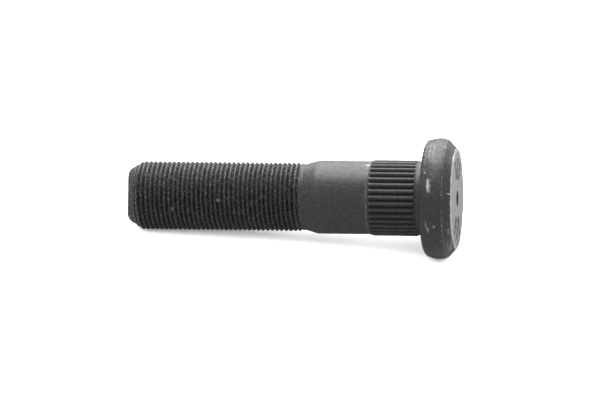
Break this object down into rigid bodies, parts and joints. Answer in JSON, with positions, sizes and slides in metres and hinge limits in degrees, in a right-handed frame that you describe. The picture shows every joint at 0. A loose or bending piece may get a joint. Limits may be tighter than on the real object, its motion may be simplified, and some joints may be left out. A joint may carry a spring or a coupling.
{
  "type": "wheel stud",
  "caption": "Press-in wheel stud: round barrelled head, serrated collar, plain shank and a long fine metric thread with a chamfered end.",
  "frame": {"origin": "centre of the head's flat end face, on which the stud stands", "axes": "+Z along the stud from its head to the end of its thread; +X towards one fan of strokes on the end face"},
  "size_m": [0.0384, 0.0384, 0.1056],
  "materials": {
    "phosphated_steel": "forged and rolled steel with a dark grey phosphate coat, matt with a faint crystal sparkle"
  },
  "bodies": {
    "root": {"wheel_stud": "phosphated_steel"}
  },
  "joints": []
}
